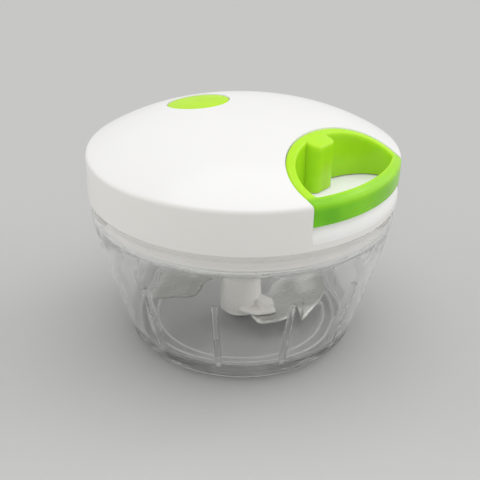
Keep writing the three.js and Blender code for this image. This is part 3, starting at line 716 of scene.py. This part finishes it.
tower = spun("tower", rounded([(5, 61.9), (10.2, 61.9, 0.3), (10.2, 69.2, 0.3), (5, 69.2)]), 96)
worked_with(base, gathered(tower, *at_screws("pad", 4.9, 40, 63.5, 66.5)), "UNION")
bore = spun("bore", [(0, 50), (8.3, 50), (8.3, 80), (0, 80)], 96)
worked_with(base, gathered(bore, *at_screws("shank", 1.8, 24, 60, 70)), "DIFFERENCE")
worked_with(base, gathered(*at_screws("head", 3.2, 32, 60, 65.6)), "DIFFERENCE")
slots = [
    turned_about(lifted("slot", slot_outline, 50, 60.5), slot_turn + 360 / slot_count * k)
    for k in range(slot_count)
]
worked_with(base, gathered(*slots), "DIFFERENCE")
base_plastic = natural_plastic("lid_base_plastic", base_light, base_deep)
fitted(base, base_plastic, "lid", "inner_plastic", "lid_base")


# Seal ring: a soft silicone ring on the plug. Three lips with rounded crests press on the inside of the
# bowl's collar.
silicone_deep = (0.88, 0.86, 0.835)
silicone_light = (0.94, 0.92, 0.895)
seal_inside, seal_groove, seal_lip = 57.7, 58.2, 59.05
seal_bottom, seal_top = 57.4, 64.2
lip_count, lips_height = 3, 6.8
seal_corners = [(seal_inside, seal_bottom, 0.15)]
for k in range(lip_count):
    lip = seal_bottom + k * lips_height / lip_count
    seal_corners += [(seal_groove, lip, 0.12), (seal_lip, lip + 0.75, 0.35), (seal_lip, lip + 1.5, 0.35)]
seal_corners += [(seal_groove, seal_top, 0.12), (seal_inside, seal_top, 0.15)]
seal = spun("lid_seal", rounded(seal_corners))
silicone = Finish("seal_silicone", Specular_IOR_Level=0.35, Sheen_Weight=0.15)
dust = silicone.between(silicone.mottled(0.5, 3), 0.62, 0.75)
silicone.surface(
    Base_Color=silicone.blended(silicone.mottled(9, 2), silicone_deep, silicone_light),
    Roughness=0.5 + 0.2 * dust,
)
silicone.raised(silicone.mottled(0.4, 2) + dust, 0.03, 0.3)
fitted(seal, silicone, "lid", "silicone", "seal_ring")


# Drive: a flanged bush in dark acetal lines the tower, the moulded shaft turns in it with its cup over
# the rotor's head, and an open ring of spring steel in a groove keeps the shaft from dropping out.
def dressed(finish, *nodes):
    """Gives CAD nodes whose shape is right their finish"""
    for name in nodes:
        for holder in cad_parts[name].material_slots:
            holder.material = finish.material


def dark_acetal(name, shade):
    """Dry running dark plastic with a faint milled grain and paler rubbed places"""
    acetal = Finish(name, Specular_IOR_Level=0.45)
    rubbed = acetal.between(acetal.mottled(2.5, 4), 0.55, 0.72)
    light = tuple(1.5 * channel for channel in shade)
    acetal.surface(
        Base_Color=acetal.blended(0.6 * rubbed, shade, light),
        Roughness=0.36 + 0.2 * rubbed + 0.08 * acetal.mottled(0.6),
    )
    acetal.raised(acetal.mottled(0.3, 2, (1, 1, 0.2)), 0.02, 0.3)
    return acetal


def spring_steel(name, dark, light):
    """Oiled blue grey spring steel with rolling lines"""
    steel = Finish(name, Metallic=1.0)
    rolled = steel.mottled(0.3, 3, (0.15, 0.15, 1))
    oil = steel.between(steel.mottled(5, 3), 0.45, 0.7)
    steel.surface(
        Base_Color=steel.blended(rolled, dark, light), Roughness=0.24 + 0.14 * rolled + 0.1 * oil
    )
    steel.raised(rolled, 0.015, 0.4)
    return steel


dressed(dark_acetal("bush_acetal", (0.06, 0.065, 0.07)), "drive_bush")
shaft_plastic = natural_plastic("drive_shaft_plastic", (0.82, 0.81, 0.77), (0.72, 0.71, 0.67))
dressed(shaft_plastic, "drive_shaft")
ring_steel = spring_steel("retaining_ring_steel", (0.18, 0.2, 0.22), (0.32, 0.34, 0.37))
dressed(ring_steel, "retaining_ring")


# Clutch: an acetal hub on the shaft's spigot with three steel pawls in slots, and a toothed acetal ring
# under the reel. Cord pulled out drives the shaft, and the reel winds back without it.
clutch_acetal = dark_acetal("clutch_acetal", (0.075, 0.08, 0.085))
dressed(clutch_acetal, "clutch_hub", "clutch_ring")
pawl_steel = bare_metal(
    "pawl_stamped_steel", (0.6, 4), (0.42, 0.42, 0.43), (0.6, 0.6, 0.61), (0.3, 0.2), (0.03, 0.4)
)
dressed(pawl_steel, "clutch_pawl_1", "clutch_pawl_2", "clutch_pawl_3")


# Reel: drum and flanges in one natural white moulding, closed by a thin cover disc. Inside the drum a
# flat spiral spring runs from a fixed steel post to the drum's wall and winds the cord back.
reel_plastic = natural_plastic("reel_plastic", (0.84, 0.83, 0.8), (0.75, 0.74, 0.7), 0.6)
dressed(reel_plastic, "cord_reel", "reel_cover")
coil_steel = spring_steel("return_spring_steel", (0.16, 0.19, 0.24), (0.3, 0.34, 0.4))
dressed(coil_steel, "spiral_spring")
post_steel = bare_metal(
    "post_drawn_steel", (0.3, 3, (1, 1, 0.03)),
    (0.48, 0.48, 0.49), (0.62, 0.62, 0.63), (0.22, 0.16), (0.02, 0.4),
)
dressed(post_steel, "spring_post")


# Pull cord: braided white nylon, 2 mm thick. Three turns lie on the drum, one end leaves it through the
# steel eyelet in the lid, and a crimped steel stop holds it in the handle's boss.
cord_radius = 1.0
cord_level = 80.7
cord_turns = 3
turn_steps = 48
drum_radius = 21.35
drum_bottom, winding_height = 78.65, 4.1
lead_circle = 24.4
mouth_reach = 25.4
lead_start, lead_length, lead_steps = 27, 7.1, 40
cord_dark, cord_light = (0.5, 0.49, 0.46), (0.82, 0.81, 0.78)
strands_round = 4
strand_pitch = 3.6


def strung(name, points, radius, sides=12):
    """A round cord along points in mm, with its length and its round as a map for the braid"""
    mesh = bmesh.new()
    braid_map = mesh.loops.layers.uv.new("braid")
    points = [Vector(p) for p in points]
    lengths = [0.0]
    for a, b in zip(points, points[1:]):
        lengths.append(lengths[-1] + (b - a).length)
    rings = []
    for i, here in enumerate(points):
        along = (points[min(i + 1, len(points) - 1)] - points[max(i - 1, 0)]).normalized()
        side = along.cross(Vector((0, 0, 1))).normalized()
        rise = side.cross(along)
        rings.append([
            mesh.verts.new((here + (side * x + rise * y) * radius) * mm)
            for x, y in round_outline(1, sides)
        ])
    for i, (first, second) in enumerate(zip(rings, rings[1:])):
        for k in range(sides):
            j = (k + 1) % sides
            face = mesh.faces.new([first[k], first[j], second[j], second[k]])
            ends = [(i, k), (i, k + 1), (i + 1, k + 1), (i + 1, k)]
            for loop, (step, around) in zip(face.loops, ends):
                loop[braid_map].uv = (lengths[step] / radius, around / sides)
    mesh.faces.new(rings[0])
    mesh.faces.new(rings[-1])
    return moulded(name, mesh)


braid = Finish("cord_braided_nylon", Specular_IOR_Level=0.3, Sheen_Weight=0.25)
braid_place = braid.node("ShaderNodeUVMap", {"uv_map": "braid"})
length_part = braid.node("ShaderNodeSeparateXYZ", {}, {0: braid_place}, "X")
round_part = braid.node("ShaderNodeSeparateXYZ", {}, {0: braid_place}, "Y")
lengthwise = strand_pitch * length_part
crosswise = 2 * math.pi * strands_round * round_part
one_way = braid.worked("SINE", lengthwise + crosswise)
other_way = braid.worked("SINE", lengthwise - crosswise)
strands = 0.5 + 0.5 * braid.worked("MAXIMUM", one_way, other_way)
braid.surface(
    Base_Color=braid.blended(strands, cord_dark, cord_light), Roughness=0.85 - 0.1 * strands
)
braid.raised(strands, 0.12, 0.7)
wound = []
for k in range(cord_turns * turn_steps + 1):
    a = 2 * math.pi * k / turn_steps
    rise = winding_height * k / (cord_turns * turn_steps)
    wound.append((drum_radius * math.cos(a), drum_radius * math.sin(a), drum_bottom + rise))
winding = strung("pull_cord_on_drum", wound, cord_radius)
fitted(winding, braid, "reel", "cord_fibre", "wound_cord")

leave = math.acos(lead_circle / mouth_reach)
leave_point = Vector((lead_circle * math.cos(leave), lead_circle * math.sin(leave), cord_level))
mouth = Vector((mouth_reach, 0, cord_level))
bend_points = [leave_point.lerp(mouth, share) for share in (0, 0.35, 0.75)]
lead_line = threaded([*bend_points, (lead_start, 0, cord_level)], 5)[:-1]
for k in range(lead_steps + 1):
    lead_line.append((lead_start + lead_length * k / lead_steps, 0, cord_level))
lead = strung("pull_cord_lead", lead_line, cord_radius)
lead.data.materials.append(braid.material)
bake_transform(lead)
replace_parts(lead, "cord_lead")

plated = bare_metal(
    "cord_fittings_plated_steel", (1.4, 4),
    (0.56, 0.56, 0.55), (0.72, 0.72, 0.7), (0.18, 0.2), (0.02, 0.3),
)
dressed(plated, "cord_eyelet", "cord_stop")


# Cover: the white domed shell of the lid, moulded with its skirt, the wall of the handle's pocket, four
# screw bosses and the seat for the round inlay. The dome is polished and the skirt has a softer gloss,
# with painted shade that makes it darker and warmer than the dome.
lid_radius = 62.5
skirt_top = 82.1
dome_rise = 14.6
dome_power = 2.7
lid_top = skirt_top + dome_rise
cover_inside = 60.3
cover_thickness = 2.2
seat_place = -24.2
seat_radius = 12.9
seat_depth = 1.5
above_lid = 110
cover_white = (0.895, 0.893, 0.885)
skirt_painted_shade = (0.845, 0.815, 0.76)
speck_grey = (0.5, 0.48, 0.44)


def dome_height(radius):
    """The height of the dome so far from the middle axis"""
    return skirt_top + dome_rise * (1 - (min(radius, lid_radius) / lid_radius) ** dome_power)


def dome_line(radius, sunk, steps=36):
    """The dome from the middle out, lowered by so much"""
    shares = [math.sin(0.5 * math.pi * k / steps) for k in range(steps + 1)]
    return [(radius * share, dome_height(radius * share) - sunk) for share in shares]


def on_dome(mesh, x, y, below):
    """A vertex over (x, y), so much below the dome"""
    return spot(mesh, x, y, dome_height(math.hypot(x, y)) - below)


def dome_ring(mesh, radius, below, steps):
    """A ring of vertices round the inlay's middle, or one vertex repeated where its radius is 0"""
    outline = round_outline(radius, steps, seat_place)
    if radius == 0:
        return [on_dome(mesh, *outline[0], below)] * steps
    return [on_dome(mesh, x, y, below) for x, y in outline]


def inlay_seat():
    """A round cutter over the inlay's place, its foot following the dome"""
    mesh = bmesh.new()
    steps = 64
    rings = [
        dome_ring(mesh, seat_radius * share, seat_depth, steps) for share in (0, 0.25, 0.5, 0.75, 1)
    ]
    outline = round_outline(seat_radius, steps, seat_place)
    rings.append([spot(mesh, x, y, above_lid) for x, y in outline])
    skinned(mesh, rings, capped=False)
    mesh.faces.new(rings[-1])
    return moulded("seat", mesh)


def cord_cutter(name, radius, start, end, steps):
    """A round cutter along the cord's way out of the lid"""
    cutter = spun(name, [(0, start), (radius, start), (radius, end), (0, end)], steps)
    sideways = Matrix.Rotation(math.pi / 2, 4, "Y")
    cutter.data.transform(Matrix.Translation((0, 0, cord_level * mm)) @ sideways)
    return cutter


outside = [point for point in dome_line(lid_radius, 0) if point[0] < 60.6]
inside = [point for point in dome_line(cover_inside, cover_thickness) if point[0] < 60.2]
cover = spun("lid_cover", rounded([
    *outside, (lid_radius, skirt_top, 2.4), (lid_radius, lid_bottom, 0.5),
    (cover_inside, lid_bottom, 0.4), (cover_inside, 79.9), *reversed(inside),
], 8), 192)
under_dome = [(0, 60), (61.4, 60), *reversed(dome_line(61.4, 1.1))]
pocket = lifted("pocket", loop_outline(2, past_lid), 74.2, lid_top)
bosses = at_screws("boss", 3.5, 32, 67.2, lid_top)
bosses.append(lifted("boss", round_outline(6.2, 48), 88, lid_top))
additions = worked_with(pocket, gathered(*bosses), "UNION")
worked_with(additions, spun("under", under_dome, 96), "INTERSECT")
worked_with(cover, additions, "UNION")
notch = lifted("notch", loop_outline(0.15, past_lid, 0.6), past_lid, above_lid)
worked_with(cover, notch, "DIFFERENCE")
holes = at_screws("hole", 1.8, 24, 60, 78.9)
holes.append(lifted("hole", round_outline(4.3, 32), 83, 91.9))
holes.append(inlay_seat())
worked_with(cover, gathered(*holes), "DIFFERENCE")
worked_with(cover, cord_cutter("cord_way", 2.6, 25.2, 35.2, 32), "DIFFERENCE")

cover_plastic = Finish("cover_white_plastic", Specular_IOR_Level=0.5, Coat_Roughness=0.12)
cloud = cover_plastic.mottled(26, 2)
# painted shade: the skirt below the dome is made darker and warmer; it also gets a softer gloss
on_skirt = 1 - cover_plastic.between(cover_plastic.along("Z"), 0.0805, 0.0835)
specks = cover_plastic.between(cover_plastic.mottled(0.7, 2), 0.8, 0.84)
toned = cover_plastic.blended(0.2 * cloud + 0.45 * on_skirt, cover_white, skirt_painted_shade)
cover_plastic.surface(
    Base_Color=cover_plastic.blended(0.12 * specks, toned, speck_grey),
    Roughness=0.26 + 0.1 * on_skirt + 0.06 * cloud,
    Coat_Weight=0.12 + 0.1 * cloud,
)
cover_plastic.raised(cover_plastic.mottled(0.35, 2), 0.006, 0.15)
fitted(cover, cover_plastic, "lid", "white_plastic", "top_cover")


# Lid screws: four zinc plated cross head screws, driven up through the base into the cover's bosses.
# The zinc has a faint spangle.
zinc = bare_metal(
    "screw_zinc_plating", (1.2, 4),
    (0.55, 0.56, 0.56), (0.7, 0.71, 0.7), (0.22, 0.22), (0.02, 0.4),
)
dressed(zinc, "lid_screw_1", "lid_screw_2", "lid_screw_3", "lid_screw_4")


# Inlay: a thin round badge blank in the handle's green, pressed into its seat on the dome across from
# the handle. It follows the dome a little below it, with a softly rounded edge and nothing on its face.
leaf_green = (0.2, 0.66, 0.012)
leaf_light = (0.56, 0.93, 0.014)
leaf_deep = (0.14, 0.53, 0.01)
leaf_bounce = (0.88, 0.94, 0.8)
inlay_radius = 12.6
inlay_sunk = 0.2
inlay_thickness = 1.0
inlay_edge = 0.35


def domed_disc(name, steps=72):
    """A round sheet that follows the dome, from its face over its edge to its back"""
    levels = [(0.0, 0.0), (0.3, 0), (0.6, 0), (0.85, 0)]
    for a in (0, 0.4, 0.8, 1.2, 1.57):
        share = 1 - inlay_edge * (1 - math.sin(a)) / inlay_radius
        levels.append((share, inlay_edge * (1 - math.cos(a))))
    levels += [(share, inlay_thickness) for share in (1.0, 0.5, 0.0)]
    mesh = bmesh.new()
    skinned(mesh, [
        dome_ring(mesh, inlay_radius * share, inlay_sunk + drop, steps) for share, drop in levels
    ], capped=False)
    return moulded(name, mesh)


def green_plastic(name, lit, shine, dull):
    """Tinted plastic that light soaks into, deep or pale in soft clouds and paler by the share that lit
    gives; light that bounces off it is made almost white
    """
    plastic = Finish(
        name, Specular_IOR_Level=shine, Subsurface_Weight=0.3, Subsurface_Radius=(0.5, 1.0, 0.1),
        Subsurface_Scale=0.004,
    )
    cloud = plastic.mottled(13, 2)
    body = plastic.blended(plastic.between(cloud, 0.3, 0.75), leaf_deep, leaf_green)
    toned = plastic.blended(lit(plastic), body, leaf_light)
    rubbed = plastic.between(plastic.mottled(0.9, 5), 0.62, 0.8)
    plastic.surface(
        Base_Color=plastic.blended(0.85 * plastic.ray("Is Diffuse Ray"), toned, leaf_bounce),
        Roughness=dull + 0.08 * cloud + 0.08 * rubbed,
    )
    plastic.raised(plastic.mottled(1.8, 1) + 0.25 * plastic.mottled(0.3, 2), 0.04, 0.25)
    return plastic


def lit_face(plastic):
    """How pale the inlay is: much the same all over"""
    return 0.66 + 0.3 * plastic.mottled(8)


inlay = domed_disc("cover_badge_blank")
inlay_green = green_plastic("inlay_green_plastic", lit_face, 0.15, 0.34)
fitted(inlay, inlay_green, "lid", "green_plastic", "cover_inlay")


# Handle: a pull loop moulded in one piece, open in the middle for a finger. Its top lies flush with the
# dome and its front with the skirt, and a boss at the back hides the end of the cord.
loop_wall = 3.7
loop_bottom = 74.2
loop_round = 1.1
foot_round = 0.5
quarter = [math.radians(15 * k) for k in range(7)]
boss_outline = [(32, -5.9), (39.6, -5.9, 3), (39.6, 5.9, 3), (32, 5.9)]
boss_middle = Vector((35, 0))


def pull_loop():
    """The loop: up its outer side, over the rim and down the inner side, then across the foot"""
    mesh = bmesh.new()
    outer = loop_outline(0, lid_radius, 1.0)
    inner = loop_outline(-loop_wall, lid_radius - loop_wall, 1.8)
    rows = []
    for (ox, oy), (ix, iy) in zip(outer, inner):
        across = Vector((ix - ox, iy - oy))
        width = across.length
        across.normalize()
        rim = [(loop_round * (1 - math.cos(a)), loop_round * (1 - math.sin(a))) for a in quarter]
        top = [*rim, (width / 2, 0.0), *[(width - drop, reach) for reach, drop in rim]]
        edge = [(foot_round * (1 - math.cos(a)), foot_round * (1 - math.sin(a))) for a in quarter[::2]]
        foot = [(width - reach, rise) for reach, rise in edge] + [(rise, reach) for reach, rise in edge]
        row = [
            on_dome(mesh, ox + across.x * reach, oy + across.y * reach, drop) for reach, drop in top
        ]
        row += [
            spot(mesh, ox + across.x * reach, oy + across.y * reach, loop_bottom + rise)
            for reach, rise in foot
        ]
        rows.append(row)
    skinned(mesh, rows + rows[:1], capped=False)
    return moulded("pull_loop", mesh)


def cord_boss():
    """A rounded block inside the back of the loop, its top edge rounded like the rim"""
    mesh = bmesh.new()
    outline = rounded(boss_outline, 8)
    rings = [[spot(mesh, x, y, loop_bottom) for x, y in outline]]
    for a in quarter:
        inset, drop = loop_round * (1 - math.cos(a)), loop_round * (1 - math.sin(a))
        rings.append([
            on_dome(mesh, *drawn_in(corner, boss_middle, inset), drop) for corner in outline
        ])
    skinned(mesh, rings)
    return moulded("cord_boss", mesh)


def painted_loop_light(plastic):
    """Painted light on the loop: paler on the rim and much paler on the inner walls, and on the front
    least at the end towards -Y
    """
    radius = plastic.radius()
    fall = dome_rise * mm * (radius / (lid_radius * mm)) ** dome_power
    rim = 1 - plastic.between(lid_top * mm - fall - plastic.along("Z"), 0.0002, 0.0026)
    inside = 1 - plastic.between(radius, 0.0585, 0.0605)
    side = plastic.along("Y")
    front = 0.18 * plastic.between(side, -0.03, -0.006) + 0.12 * plastic.between(side, 0, 0.024)
    return 0.24 * rim + 0.56 * inside + (1 - inside) * front


handle = pull_loop()
worked_with(handle, cord_boss(), "UNION")
worked_with(handle, lifted("knot_pocket", round_outline(3.0, 40, 36.2), 70, 85), "DIFFERENCE")
worked_with(handle, cord_cutter("cord_bore", 1.5, 25, 36.2, 24), "DIFFERENCE")
handle_green = green_plastic("handle_green_plastic", painted_loop_light, 0.32, 0.2)
fitted(handle, handle_green, "handle", "green_plastic", "pull_handle")


# Studio: a plain pale floor with painted light that makes it lighter towards the camera, fading out far
# away, an even sky, one broad lamp overhead, two lower ones behind on the right and in front on the
# left, a small one for highlights, and the camera at the photograph's place.
floor_grey = (0.515, 0.515, 0.508)
floor_painted_light = (0.585, 0.586, 0.568)
floor_radius = 4
floor_drop = 0.0001
floor_fade = (0.7, 2.2)
to_camera = (0.63, -0.78, 0)
sky_light = 0.67
sky_shown = (0.58, 0.58, 0.575)
lamps = {
    "overhead": (0.82, 60, (0.035, 0, 1)),
    "behind_right": (0.7, 60, (0.557, 0.663, 0.5)),
    "front_left": (0.6, 60, (-0.807, -0.565, 0.174)),
    "highlight": (0.07, 9, (0.25, 0.68, 0.68)),
}
camera_place = (0.18334, -0.22761, 0.19235)
camera_aim = (-0.000593, -0.000480, 0.039108)
camera_lens = 58.0
camera_roll = 0.94

floor_mesh = bmesh.new()
bmesh.ops.create_circle(floor_mesh, cap_ends=True, segments=96, radius=floor_radius)
floor = moulded("floor", floor_mesh)
floor.location.z = -floor_drop
paper = Finish("floor_paper", Specular_IOR_Level=0.0)
fibre = paper.mottled(1.5, 3)
values = {0: paper.place, 1: to_camera}
towards = paper.node("ShaderNodeVectorMath", {"operation": "DOT_PRODUCT"}, values, "Value")
# painted light: the floor is lighter towards the camera
near = paper.between(towards, 0.04, 0.16)
paper.surface(
    Base_Color=paper.blended(0.9 * near + 0.1 * fibre, floor_grey, floor_painted_light),
    Roughness=0.75 + 0.1 * fibre,
)
far = paper.between(paper.length(paper.place), *floor_fade)
paper.shown(paper.mixed(far, paper.solid, paper.passing((1, 1, 1))))
floor.data.materials.append(paper.material)


class Sky(Finish):
    """The light all round, its nodes made like a material's"""

    def __init__(self, name):
        world = bpy.data.worlds.new(name)
        world.use_nodes = True
        bpy.context.scene.world = world
        self.tree = world.node_tree
        self.shader = self.tree.nodes["Background"]
        self.solid = Wire(self, self.shader.outputs[0])


sky = Sky("sky")
sky.surface(Color=(1, 1, 1), Strength=sky_light)
backdrop = sky.node("ShaderNodeBackground", {}, {"Color": sky_shown})
sky.shown(sky.mixed(sky.ray("Is Camera Ray"), sky.solid, backdrop), "World Output")

for name, (strength, spread, place) in lamps.items():
    lamp = bpy.data.objects.new(f"{name}_lamp", bpy.data.lights.new(f"{name}_lamp", "SUN"))
    lamp.data.energy = strength
    lamp.data.angle = math.radians(spread)
    lamp.visible_transmission = False
    lamp.rotation_euler = Vector(place).to_track_quat("Z", "Y").to_euler()
    bpy.context.scene.collection.objects.link(lamp)

camera = bpy.data.objects.new("camera", bpy.data.cameras.new("camera"))
camera.data.lens = camera_lens
camera.data.clip_start = 0.01
bpy.context.scene.collection.objects.link(camera)
view = Vector(camera_aim) - Vector(camera_place)
aim = view.to_track_quat("-Z", "Y").to_matrix().to_4x4()
roll = Matrix.Rotation(math.radians(camera_roll), 4, "Z")
camera.matrix_world = Matrix.Translation(camera_place) @ aim @ roll
bpy.context.scene.camera = camera
bpy.context.scene.cycles.glossy_bounces = 12
bpy.context.scene.view_settings.view_transform = "Standard"

bpy.context.view_layer.update()
